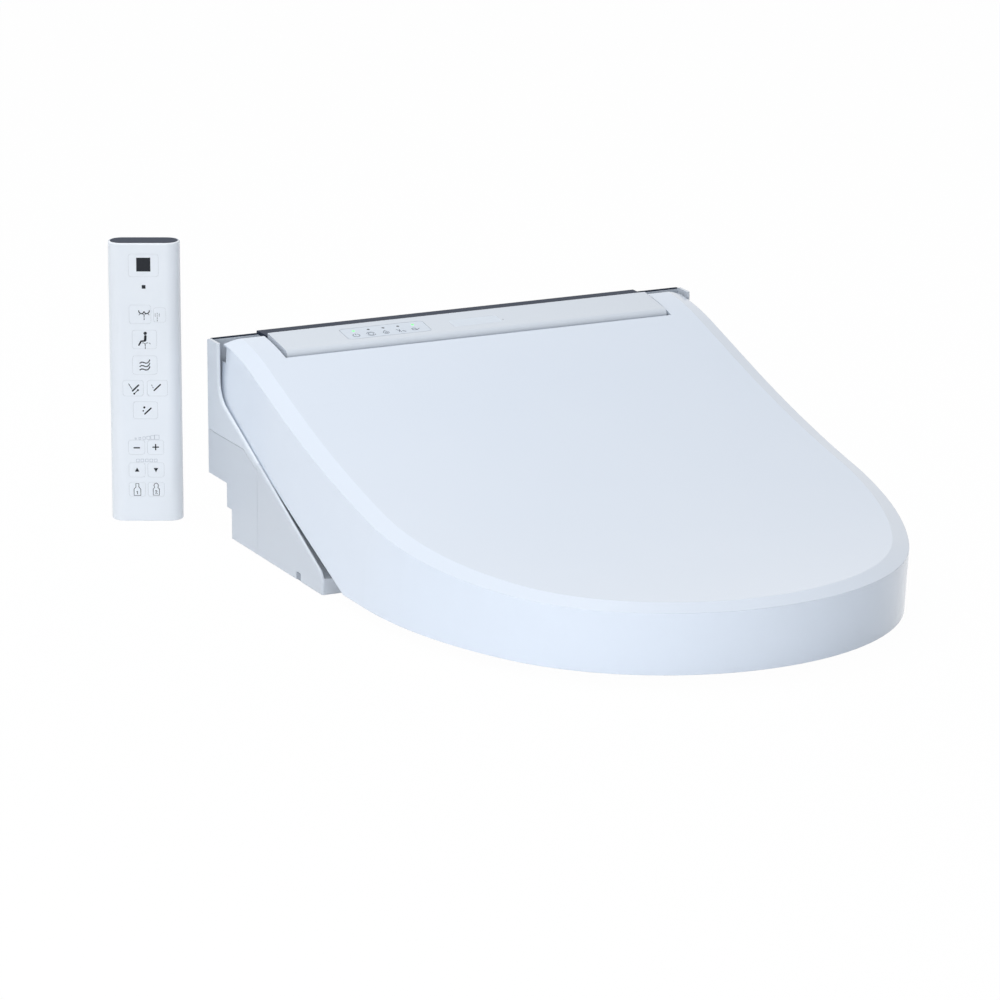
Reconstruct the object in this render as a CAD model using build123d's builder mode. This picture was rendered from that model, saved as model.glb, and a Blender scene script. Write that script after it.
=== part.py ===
import os
from math import asin, atan2, cos, hypot, radians, sin, tan

from build123d import *

os.makedirs("parts", exist_ok=True)

# An electric bidet seat with its remote control, in millimetres.
# X is to the right, the front faces -Y and Z is up. The origin lies midway between
# the two bowl bolts, on top of the bowl rim.

# Fits
gap = 0.3  # between pieces that sit on or beside each other
running = 0.05  # radial, a shaft that turns or slides in its hole
seating = 0.02  # radial, a fixed pin in its hole

# Housing
housing_half = 194.5
pocket_w = 39.5  # beside the core, for the hinge arms
flank_w = 22.5  # outside the seat ring's rear corners
core_half = housing_half - pocket_w
tray_half = housing_half - flank_w
rear_y = 63.0
wall = 2.5
cheek_wall = 2.3
parting_z = 73.5
front_y = -104.0
chin_z = 30.0
brow_y = -95.0
brow_z = 45.0
crown_y = -50.0  # where the roof turns down to the brow
roof_gap = 5.0  # between the lid and the housing under it
deck_front_y = 5.0
deck_front_z = 140.5
deck_rear_y = 42.0
deck_rear_z = 146.5
deck_round = 4.5
notch_gap = 2.5  # between the deck and the lid round it
rear_foot_y = 19.5
step_y = 28.5
step_z = 22.0
overhang_z = 40.0
trim_top = 144.0
trim_t = 2.8
trim_end_d = 2.2  # the trim is narrow and thin where the open lid stands before it
trim_end_t = 1.0

# Lid
lid_side_gap = 0.5  # between the lid and the inside of the cheeks
lid_half = housing_half - cheek_wall - lid_side_gap
lid_lean = 0.12  # how far the skirt leans forward for its height
lid_front = -465.0
lid_rear = 48.0
lid_bottom = 8.0
lid_wall = 3.0
lid_rear_round = 6.0
lid_side_z = 50.0  # the sides lean in above this
lid_side_r = 1013.0
lid_foot_y = -177.0  # where the skirt's lower edge turns up along the cheek
nose_in = 19.0
nose_r = lid_half - nose_in  # plan radius of the nose
widest_y = -213.0
lid_front_top = 57.5
lid_flat_y = -440.0  # the top is level in front of this
lid_bend_y = -60.0  # a straight slope behind this
lid_slope = radians(17.8)
lid_crown_y = -5.0  # and rounded over behind this
lid_rear_slope = radians(4.0)
bevel_h = 4.5
bevel_w = 12.0
top_facing = 0.2  # the least rise of a normal on the lid's top

# Cheek edge: a drop behind the lid, a quarter round, and a slope down to the foot
cheek_y = 23.7
cheek_z = 114.4
cheek_r = 20.0
cheek_slope = radians(24.65)
cheek_tuck = 5.8  # how far the lid's skirt reaches behind the cheek
cheek_corner = 3.0
lip_round = 1.8
pocket_drop = 8.0
pocket_z = 65.0
tongue_y = -4.0
tongue_w = 5.0
side_seam_y = -29.0
foot_front_y = -146.5
foot_flat_y = -133.0
foot_round = 12.0

# Hinge
axis_y = 41.0
axis_z = 126.0
pin_r = 5.0
hinge_boss_r = 11.0
hinge_boss_t = 10.0
arm_clear = 5.0  # between the core and the seat's arms
arm_x = core_half + arm_clear
arm_t = 8.0
ear_x = arm_x + arm_t + gap
ear_t = 8.0
pin_tail = 1.5
damper_r = 9.5
damper_length = 44.0

# Seat ring
seat_inset = 4.7  # behind the inside of the lid
seat_rear = -120.0
seat_narrow = 6.2  # how far the ring's side arcs would draw in at the lid's rear
seat_shoulder_y = -158.0
seat_shoulder_in = 3.0  # beside the inside of the flanks
seat_shoulder_half = tray_half - seat_shoulder_in
seat_low_z = 14.0
seat_split_z = 20.0
seat_top_z = 38.0
seat_wall = 2.5
seat_round = 9.0
seat_rear_w = 45.0
seat_front_w = 42.0
opening_half = 106.0
heater_foil_t = 0.6
heater_margin = 10.0
arm_w = 14.0
arm_root_z = 29.0
pad_r = 8.0
pad_in = 38.0
pad_side_y = -290.0
pad_front = 62.0
pad_front_y = -410.0

# Mounting plate
bolt_spacing = 140.0
bolt_slot_r = 5.5
bolt_slot_length = 30.0
plate_half = 100.0
plate_front_y = -45.0
plate_rear_y = 15.0
plate_t = 5.7
bolt_dome = 14.0

# Wand
wand_y = -100.0
wand_z = 6.2
wand_r = 6.5
wand_length = 150.0
wand_tilt = radians(25.0)
wand_port = 0.8
guide_low = 32.0
guide_length = 34.0
guide_wall = 2.6

# Dryer
blower_x = 36.0
blower_t = 30.0
blower_y = -30.0
blower_z = 56.0
blower_r = 32.0
blower_wall = 2.0
impeller_r = 24.0
impeller_t = 22.0
impeller_hub_r = 6.0
blade_t = 1.0
blade_count = 18
shaft_r = 2.0
motor_r = 14.0
motor_length = 20.0
duct_h = 12.5
duct_low_z = 13.0
flap_t = 2.0
flap_pin_r = 1.2
lug_t = 2.5

# Deodoriser
filter_y = 44.0
filter_z = 52.5
filter_w = 23.0
filter_h = 15.0
filter_length = 46.0
filter_wall = 1.5
fan_r = 7.0
fan_hub_r = 4.0
fan_blade_t = 0.8
fan_blade_count = 9
fan_length = 16.0
fan_bay = 28.0

# Water parts
inlet_out = 10.0  # outside the core
inlet_x = -core_half - inlet_out
inlet_y = 46.0
inlet_r = 10.5
inlet_neck_r = 9.0
inlet_bore_r = 7.0
inlet_length = 16.0
inlet_flange_r = 14.0
inlet_flange_t = 3.0
valve_in = 33.0
valve_x = valve_in - core_half
valve_w = 40.0
valve_d = 24.0
valve_h = 25.0
coil_r = 9.0
coil_length = 14.0
heater_x = -80.0
heater_w = 90.0
heater_d = 27.0
heater_h = 55.0
heater_y = -33.0
spread_x = -24.0
spread_r = 9.5
spread_h = 34.0
hose_r = 4.0
hose_top_z = 86.0
hose_bend = 10.0
plug_in = 10.5
plug_x = plug_in - housing_half
plug_z = 32.0
plug_r = 4.5
plug_stem_r = 2.6
plug_head = 6.0
plug_stem = 8.0

# Electric parts
board_in = 47.0
board_x = core_half - board_in
board_t = 1.6
board_front_y = -72.0
board_rear_y = 8.0
board_h = 55.0
chip_w = 14.0
chip_t = 6.4
module_t = 14.0
module_front_y = -50.0
module_d = 40.0
module_h = 40.0
gland_in = 35.0
gland_x = core_half - gland_in
gland_z = 52.0
gland_r = 7.0
gland_bore_r = 3.6
gland_flange_r = 9.5
gland_flange_t = 2.0

# Casing screws
screw_in = 19.0
screw_x = core_half - screw_in
screw_front_y = -60.0
screw_rear_y = 11.0
screw_r = 2.0
screw_head_r = 3.6
screw_head_t = 2.4
screw_grip = 12.0
boss_r = 5.0
screw_pad_t = 7.0
screw_pad_r = 6.0

# Indicator panel on the deck
panel_x = -68.0
panel_y = 24.3
panel_w = 67.5
panel_d = 20.0
panel_t = 0.9
panel_corner = 3.0
lamp_count = 5
lamp_pitch = 11.95
lamp_r = 1.1
lamp_up = 4.5  # behind the panel's centre line

# Release button at the left foot
button_y = -104.0
button_w = 7.0
button_h = 5.6
button_length = 18.0
button_travel = 3.0

# Remote control
remote_off = 33.9  # beside the housing
remote_x = -housing_half - remote_off
remote_y = 100.6
remote_turn = radians(25.16)
remote_w = 53.0
remote_t = 22.0
remote_h = 211.5
remote_corner = 10.4
remote_wall = 1.8
remote_cap_t = 1.6
remote_rim = 1.4
remote_edge = 1.0
key_gap = 0.08
key_flange = 0.8
key_flange_t = 1.0
key_travel = 0.6
key_lift = 0.1
key_corner = 2.0
pcb_t = 1.2
pcb_margin = 3.0
cell_r = 7.1
cell_length = 50.0
cell_low_z = 21.0
door_w = 34.0
door_low_z = 18.0
door_h = 56.0

# Keys of the remote: centre from the middle, height as a share of the remote's, then width and height
key_column = 7.0
small_key = (12.0, 11.0)
key_rows = {
    "key_stop": ((0, 0.922), (22.0, 17.0)),
    "key_rear_wash": ((-3.0, 0.747), (16.0, 14.0)),
    "key_soft_wash": ((11.5, 0.745), (9.0, 11.0)),
    "key_front_wash": ((0, 0.657), (18.0, 14.0)),
    "key_dryer": ((0, 0.565), (18.0, 14.0)),
    "key_oscillate": ((-9.0, 0.482), (15.0, 12.0)),
    "key_pulsate": ((9.0, 0.482), (15.0, 12.0)),
    "key_wand_clean": ((0, 0.402), (18.0, 13.0)),
    "key_minus": ((-key_column, 0.268), small_key),
    "key_plus": ((key_column, 0.268), small_key),
    "key_forward": ((-key_column, 0.186), small_key),
    "key_back": ((key_column, 0.186), small_key),
    "key_user_one": ((-key_column, 0.115), small_key),
    "key_user_two": ((key_column, 0.115), small_key),
}
keys = {name: ((x, share * remote_h), size) for name, ((x, share), size) in key_rows.items()}


# Shapes that several pieces share


def lid_top(y):
    # Height of the lid's outer top behind its bend: a straight slope, then a crown.
    bend_z = lid_front_top + (lid_bend_y - lid_flat_y) * tan(lid_slope / 2)
    if y <= lid_crown_y:
        return bend_z + (y - lid_bend_y) * tan(lid_slope)
    crown_r = (lid_rear - lid_crown_y) / (sin(lid_slope) - sin(lid_rear_slope))
    fall = asin(sin(lid_slope) - (y - lid_crown_y) / crown_r)
    return lid_top(lid_crown_y) + crown_r * (cos(fall) - cos(lid_slope))


def lid_side(half, lean):
    # A place on the lid's side where it leans in by an angle: half width and height.
    return half - lid_side_r * (1 - cos(lean)), lid_side_z + lid_side_r * sin(lean)


def roof(y):
    # Height of the housing's roof under the lid.
    return lid_top(y) - lid_wall - roof_gap


def slope_y(z):
    # Depth of the housing's steep front slope at a height.
    share = (roof(crown_y) - z) / (roof(crown_y) - brow_z)
    return crown_y + (brow_y - crown_y) * share


def edge_z(y, drop=0.0):
    # Height of the cheek's sloping edge, or of a line that runs below it.
    return cheek_z - (cheek_r + drop) / cos(cheek_slope) + (y - cheek_y) * tan(cheek_slope)


def edge_y(z, drop=0.0):
    # Depth at which that line has a height.
    return cheek_y + (z - cheek_z + (cheek_r + drop) / cos(cheek_slope)) / tan(cheek_slope)


def d_outline(half, tip_y, back_y, nose, narrow=0.0):
    # A rounded nose and gentle side arcs, then straight sides or arcs that draw in, all tangent.
    rise = widest_y - tip_y - nose
    side_r = (half**2 + rise**2 - nose**2) / (2 * (half - nose))
    across = (side_r - half) / (side_r - nose)
    along = rise / (side_r - nose)
    join = (nose * across, tip_y + nose - nose * along)
    back_half = half - narrow * ((back_y - widest_y) / (lid_rear - widest_y)) ** 2
    ThreePointArc(join, (0, tip_y), (-join[0], join[1]))
    for side in (-1, 1):
        TangentArc((side * half, widest_y), (side * join[0], join[1]), tangent=(0, -1))
        if narrow:
            TangentArc((side * half, widest_y), (side * back_half, back_y), tangent=(0, 1))
        else:
            Line((side * half, widest_y), (side * half, back_y))
    Line((-back_half, back_y), (back_half, back_y))


def lid_form(inset):
    # The lid's outside as a solid, or the same form set in by a wall.
    bend_r = (lid_bend_y - lid_flat_y) / sin(lid_slope)
    middle = lid_slope / 2
    low = lid_front_top - inset
    back = lid_rear - inset
    crown_middle = (lid_crown_y + back) / 2
    half = lid_half - inset
    full_lean = asin((deck_rear_z - lid_side_z) / lid_side_r)
    shift = lid_lean * deck_rear_z
    with BuildPart() as form:
        with BuildSketch(Plane.XY.offset(lid_bottom - inset)):
            with BuildLine():
                d_outline(half, lid_front + inset, back + shift, nose_r - inset)
            make_face()
        extrude(amount=hypot(deck_rear_z, shift), dir=Vector(0, -lid_lean, 1).normalized())
        tip = lid_front - shift
        with BuildSketch(Plane.YZ):
            with BuildLine():
                Line((tip, low), (lid_flat_y, low))
                ThreePointArc(
                    (lid_flat_y, low),
                    (lid_flat_y + bend_r * sin(middle), low + bend_r * (1 - cos(middle))),
                    (lid_bend_y, lid_top(lid_bend_y) - inset),
                )
                Line(
                    (lid_bend_y, lid_top(lid_bend_y) - inset),
                    (lid_crown_y, lid_top(lid_crown_y) - inset),
                )
                ThreePointArc(
                    (lid_crown_y, lid_top(lid_crown_y) - inset),
                    (crown_middle, lid_top(crown_middle) - inset),
                    (back, lid_top(back) - inset),
                )
                Polyline(
                    (back, lid_top(back) - inset),
                    (back, lid_bottom - inset),
                    (tip, lid_bottom - inset),
                    (tip, low),
                )
            make_face()
        extrude(amount=lid_half, both=True, mode=Mode.INTERSECT)
        with BuildSketch(Plane.XZ):
            with BuildLine():
                for side in (-1, 1):
                    leaning = [lid_side(half, full_lean * share) for share in (0, 1 / 2, 1)]
                    Line((side * half, lid_bottom - inset), (side * half, lid_side_z))
                    ThreePointArc(*[(side * x, z) for x, z in leaning])
                top_half, top_z = lid_side(half, full_lean)
                Line((-top_half, top_z), (top_half, top_z))
                Line((-half, lid_bottom - inset), (half, lid_bottom - inset))
            make_face()
        extrude(amount=lid_rear - lid_front, both=True, mode=Mode.INTERSECT)
        top = form.faces().filter_by(lambda face: face.normal_at().Z > top_facing)
        chamfer(top.edges().filter_by(Axis.X, reverse=True), bevel_h, bevel_w)
        rear_edge = form.edges().filter_by(Axis.X).group_by(Axis.Y)[-1].sort_by(Axis.Z)[-1]
        fillet(rear_edge, lid_rear_round - inset)
    return form.part


def ring_outline(inset):
    # The seat ring's plan, set in by a margin.
    d_outline(seat_half - inset, seat_front + inset, seat_rear - inset, seat_nose - inset, seat_narrow)


def ring_opening(outset):
    # The opening in the seat ring, grown by a margin.
    length = opening_rear - opening_front
    with Locations((0, (opening_front + opening_rear) / 2)):
        SlotOverall(
            length + 2 * outset, 2 * (opening_half + outset), rotation=90, mode=Mode.SUBTRACT
        )


def ring_shoulders(inset):
    # The rear corners of the ring step in beside the feet of the housing.
    depth = seat_rear - seat_shoulder_y
    for side in (-1, 1):
        with Locations((side * seat_half, seat_shoulder_y + depth / 2 - inset)):
            Rectangle(2 * (seat_half - seat_shoulder_half + inset), depth, mode=Mode.SUBTRACT)


def across(x, y, z):
    # A place whose own Z runs along X.
    return Plane(origin=(x, y, z), x_dir=(0, 1, 0), z_dir=(1, 0, 0))


def keep(builder, name):
    # Name a finished piece and write it.
    builder.part.label = name
    export_step(builder.part, f"parts/{name}.step")


on_floor = (Align.CENTER, Align.CENTER, Align.MIN)
from_left = (Align.MIN, Align.CENTER, Align.CENTER)

seat_half = lid_half - lid_wall - seat_inset
seat_front = lid_front + lid_wall + seat_inset
seat_nose = nose_r - lid_wall - seat_inset
pad_side = seat_half - pad_in
opening_front = seat_front + seat_front_w
opening_rear = seat_rear - seat_rear_w
deck_slope = atan2(deck_rear_z - deck_front_z, deck_rear_y - deck_front_y)
trim_z = trim_top - trim_t
shoulder_z = trim_z + trim_end_t  # top of the cheeks beside the deck
floor_z = wall + gap
pan_top = plate_t + gap + wall
pan_floor = pan_top + gap
pocket_y = edge_y(pocket_z, pocket_drop)
rear_floor = overhang_z + wall + gap
rear_inner = rear_y - wall
cheek_in = housing_half - cheek_wall


# Lid: a thin shell with a notch round the deck and two ears on the hinge pins
with BuildPart() as lid_shell:
    add(lid_form(0))
    add(lid_form(lid_wall), mode=Mode.SUBTRACT)
    notch_y = deck_front_y - notch_gap
    notch_depth = lid_rear - notch_y + gap
    with Locations((0, notch_y + notch_depth / 2, deck_rear_z / 2)):
        Box(2 * (core_half + notch_gap), notch_depth, 2 * deck_rear_z, mode=Mode.SUBTRACT)
    with Locations((0, lid_rear, axis_z + hinge_boss_r + lid_wall / 2)):
        Box(
            2 * (lid_half - lid_wall),
            4 * lid_wall,
            axis_z,
            align=(Align.CENTER, Align.CENTER, Align.MAX),
            mode=Mode.SUBTRACT,
        )
    reach = hypot(cheek_y - lid_foot_y, cheek_z - lid_bottom)
    tuck_r = cheek_r + cheek_tuck
    skirt_slope = atan2(cheek_z - lid_bottom, cheek_y - lid_foot_y) - asin(tuck_r / reach)
    touch = (cheek_y + tuck_r * sin(skirt_slope), cheek_z - tuck_r * cos(skirt_slope))
    half_turn = skirt_slope / 2 + radians(45)
    with BuildSketch(Plane.YZ):
        with BuildLine():
            Line((lid_foot_y, lid_bottom), touch)
            ThreePointArc(
                touch,
                (cheek_y + tuck_r * sin(half_turn), cheek_z - tuck_r * cos(half_turn)),
                (cheek_y + tuck_r, cheek_z),
            )
            Polyline(
                (cheek_y + tuck_r, cheek_z),
                (cheek_y + tuck_r, -lid_wall),
                (lid_foot_y, -lid_wall),
                (lid_foot_y, lid_bottom),
            )
        make_face()
    extrude(amount=housing_half, both=True, mode=Mode.SUBTRACT)
    for side in (-1, 1):
        with BuildSketch(Plane.YZ.offset(side * ear_x)):
            with Locations((axis_y, axis_z)):
                Circle(hinge_boss_r)
            with BuildLine():
                Polyline(
                    (axis_y - hinge_boss_r, axis_z),
                    (axis_y - hinge_boss_r, lid_top(axis_y - hinge_boss_r) - lid_wall / 2),
                    (axis_y, lid_top(axis_y) - lid_wall / 2),
                    (axis_y + hinge_boss_r / 2, axis_z),
                    close=True,
                )
            make_face()
        extrude(amount=side * ear_t)
    with Locations(across(0, axis_y, axis_z)):
        Cylinder(pin_r + running, 2 * (ear_x + ear_t), mode=Mode.SUBTRACT)
keep(lid_shell, "lid_shell")

# Rubber pads under the lid, which rest on the seat
lid_pads = [(s * pad_side, pad_side_y) for s in (-1, 1)] + [(s * pad_front, pad_front_y) for s in (-1, 1)]
with BuildPart() as lid_bumpers:
    with BuildSketch(Plane.XY.offset(seat_top_z + gap)):
        with Locations(*lid_pads):
            Circle(pad_r)
    extrude(amount=deck_rear_z)
    add(lid_form(lid_wall + seating), mode=Mode.INTERSECT)
keep(lid_bumpers, "lid_bumpers")

# Seat ring: a hollow top shell with two hinge arms
with BuildPart() as seat_top:
    with BuildSketch(Plane.XY.offset(seat_split_z)):
        with BuildLine():
            ring_outline(0)
        make_face()
        ring_opening(0)
        ring_shoulders(0)
    extrude(amount=seat_top_z - seat_split_z)
    fillet(seat_top.faces().sort_by(Axis.Z)[-1].edges(), seat_round)
    offset(amount=-seat_wall, openings=seat_top.faces().sort_by(Axis.Z)[0])
    arm_run = hypot(axis_y - seat_rear, axis_z - arm_root_z)
    arm_up = ((axis_z - arm_root_z) / arm_run, (axis_y - seat_rear) / arm_run)
    half_bar = arm_w / 2
    root = (seat_rear - seat_wall / 2, arm_root_z)
    for side in (-1, 1):
        with BuildSketch(Plane.YZ.offset(side * arm_x)):
            with BuildLine():
                Polyline(
                    (root[0], root[1] - half_bar),
                    (axis_y + arm_up[0] * half_bar, axis_z - arm_up[1] * half_bar),
                    (axis_y - arm_up[0] * half_bar, axis_z + arm_up[1] * half_bar),
                    (root[0], root[1] + half_bar),
                    close=True,
                )
            make_face()
            with Locations((axis_y, axis_z)):
                Circle(hinge_boss_r)
        extrude(amount=side * arm_t)
    with Locations(across(0, axis_y, axis_z)):
        Cylinder(pin_r + running, 2 * (arm_x + arm_t), mode=Mode.SUBTRACT)
keep(seat_top, "seat_top")

with BuildPart() as seat_bottom:
    with BuildSketch(Plane.XY.offset(seat_low_z)):
        with BuildLine():
            ring_outline(0)
        make_face()
        ring_opening(0)
        ring_shoulders(0)
    extrude(amount=seat_split_z - seat_low_z)
    fillet(seat_bottom.faces().sort_by(Axis.Z)[0].edges(), seat_wall)
keep(seat_bottom, "seat_bottom")

# Heating foil against the inside of the seat's top
with BuildPart() as seat_heater:
    with BuildSketch(Plane.XY.offset(seat_top_z - seat_wall - gap - heater_foil_t)):
        with BuildLine():
            ring_outline(heater_margin)
        make_face()
        ring_opening(heater_margin)
        ring_shoulders(heater_margin)
    extrude(amount=heater_foil_t)
keep(seat_heater, "seat_heater")

# Rubber pads under the seat, which rest on the bowl rim
with BuildPart() as seat_bumpers:
    with BuildSketch():
        for x, y in lid_pads:
            with Locations((x, y)):
                SlotOverall(4 * pad_r, 2 * pad_r, rotation=90 if abs(x) > abs(pad_front) else 0)
    extrude(amount=seat_low_z)
keep(seat_bumpers, "seat_bumpers")


# Top cover: deck, front slope, cheeks and rear wall
def boss_top(y):
    # How high a screw boss reaches into the cover's roof.
    if y > deck_front_y:
        return deck_front_z - wall / 2
    return roof(crown_y) - (crown_y - y + boss_r) / (crown_y - brow_y) * (roof(crown_y) - brow_z) - wall / 2


def on_lip(place):
    # Whether the middle of an edge lies on the cheek's free edge, not on its seams.
    return side_seam_y + gap < place.Y < rear_y - lip_round and parting_z + gap < place.Z < shoulder_z - gap


screw_places = [(s * screw_x, y) for s in (-1, 1) for y in (screw_front_y, screw_rear_y)]
deck_plane = Plane(
    origin=(0, deck_front_y, deck_front_z),
    x_dir=(1, 0, 0),
    z_dir=(0, -sin(deck_slope), cos(deck_slope)),
)
panel_up = (panel_y - deck_front_y) / cos(deck_slope)
with BuildPart() as top_cover:
    with BuildSketch(Plane.YZ):
        with BuildLine():
            Polyline(
                (rear_y, parting_z),
                (rear_y, trim_z),
                (deck_rear_y, trim_z),
                (deck_rear_y, deck_rear_z),
                (deck_front_y, deck_front_z),
                (deck_front_y, roof(deck_front_y)),
                (crown_y, roof(crown_y)),
                (slope_y(parting_z), parting_z),
                close=True,
            )
        make_face()
    extrude(amount=core_half, both=True)
    crosswise = top_cover.edges().filter_by(Axis.X)
    lip = crosswise.filter_by_position(Axis.Y, deck_front_y - gap, deck_front_y + gap)
    fillet(lip.sort_by(Axis.Z)[-1], deck_round)
    offset(amount=-wall, openings=top_cover.faces().sort_by(Axis.Z)[0])
    turn = radians(90) + cheek_slope
    edge_start = (cheek_y + cheek_r * sin(cheek_slope), cheek_z - cheek_r * cos(cheek_slope))
    for side in (-1, 1):
        with BuildSketch(Plane.YZ.offset(side * cheek_in)) as cheek:
            with BuildLine():
                Polyline(
                    edge_start,
                    (side_seam_y, edge_z(side_seam_y)),
                    (side_seam_y, edge_z(side_seam_y) - tongue_w),
                    (tongue_y, parting_z),
                    (rear_y, parting_z),
                    (rear_y, shoulder_z),
                    (cheek_y + cheek_r, shoulder_z),
                    (cheek_y + cheek_r, cheek_z),
                )
                ThreePointArc(
                    (cheek_y + cheek_r, cheek_z),
                    (cheek_y + cheek_r * sin(turn / 2), cheek_z - cheek_r * cos(turn / 2)),
                    edge_start,
                )
            make_face()
            fillet(cheek.vertices().group_by(Axis.X)[-1].sort_by(Axis.Y)[-1], cheek_corner)
        extrude(amount=side * cheek_wall)
    with Locations((0, rear_y - wall / 2, parting_z)):
        Box(2 * housing_half, wall, trim_z - parting_z, align=on_floor)
    for side in (-1, 1):
        with Locations(across(side * (core_half - hinge_boss_t / 2), axis_y, axis_z)):
            Cylinder(hinge_boss_r, hinge_boss_t)
    with Locations(across(0, axis_y, axis_z)):
        Cylinder(pin_r + seating, 2 * core_half, mode=Mode.SUBTRACT)
    for x, y in screw_places:
        with Locations((x, y, screw_pad_t + gap)):
            Cylinder(boss_r, boss_top(y) - screw_pad_t - gap, align=on_floor)
            Cylinder(screw_r + running, 2 * screw_grip, mode=Mode.SUBTRACT)
    with BuildSketch(deck_plane):
        with Locations((panel_x, panel_up)):
            RectangleRounded(panel_w, panel_d, panel_corner)
    extrude(amount=-panel_t, mode=Mode.SUBTRACT)
    flanks = [top_cover.faces().sort_by(Axis.X)[end] for end in (0, -1)]
    lips = [edge for flank in flanks for edge in flank.edges() if on_lip(edge.center())]
    fillet(lips, lip_round)
keep(top_cover, "top_cover")

# Dark strip along the rear top edge
with BuildPart() as rear_trim:
    with Locations((0, (deck_rear_y + gap + rear_y) / 2, trim_z)):
        Box(2 * core_half, rear_y - deck_rear_y - gap, trim_t, align=on_floor)
    for side in (-1, 1):
        with Locations((side * (core_half + cheek_in - gap) / 2, rear_y - trim_end_d / 2, trim_z)):
            Box(cheek_in - gap - core_half, trim_end_d, trim_end_t, align=on_floor)
    rearmost = rear_trim.edges().filter_by(Axis.X).group_by(Axis.Y)[-1]
    upper = rearmost.filter_by_position(Axis.Z, trim_z + gap, trim_top)
    fillet(upper, trim_t / 3)
keep(rear_trim, "rear_trim")

# Indicator panel, its lamps, and the board under the deck
lamp_places = [
    (panel_x + lamp_pitch * (i - (lamp_count - 1) / 2), panel_up + lamp_up) for i in range(lamp_count)
]
with BuildPart() as indicator_panel:
    with BuildSketch(deck_plane.offset(-panel_t)):
        with Locations((panel_x, panel_up)):
            RectangleRounded(panel_w - 2 * gap, panel_d - 2 * gap, panel_corner - gap)
        with Locations(*lamp_places):
            Circle(lamp_r + running, mode=Mode.SUBTRACT)
    extrude(amount=panel_t)
keep(indicator_panel, "indicator_panel")

with BuildPart() as indicator_lamps:
    with BuildSketch(deck_plane.offset(-panel_t)):
        with Locations(*lamp_places):
            Circle(lamp_r)
    extrude(amount=panel_t)
keep(indicator_lamps, "indicator_lamps")

with BuildPart() as indicator_board:
    with BuildSketch(deck_plane.offset(-wall - gap - board_t)):
        with Locations((panel_x, panel_up)):
            Rectangle(panel_w, panel_d)
    extrude(amount=board_t)
keep(indicator_board, "indicator_board")

# Base tray: a hollow lower casing, lower beside the core, with a pan for the mounting plate
under = [
    (front_y, 0),
    (rear_foot_y, 0),
    (rear_foot_y, step_z),
    (step_y, step_z),
    (step_y, overhang_z),
    (rear_y, overhang_z),
]
tray_top = parting_z - gap
pocket_line = [(rear_y, pocket_z), (pocket_y, pocket_z)]


def core_section(top):
    # Side view of the tray between the pockets.
    return under + [(rear_y, top), (slope_y(top), top), (brow_y, brow_z), (front_y, chin_z)]


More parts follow.
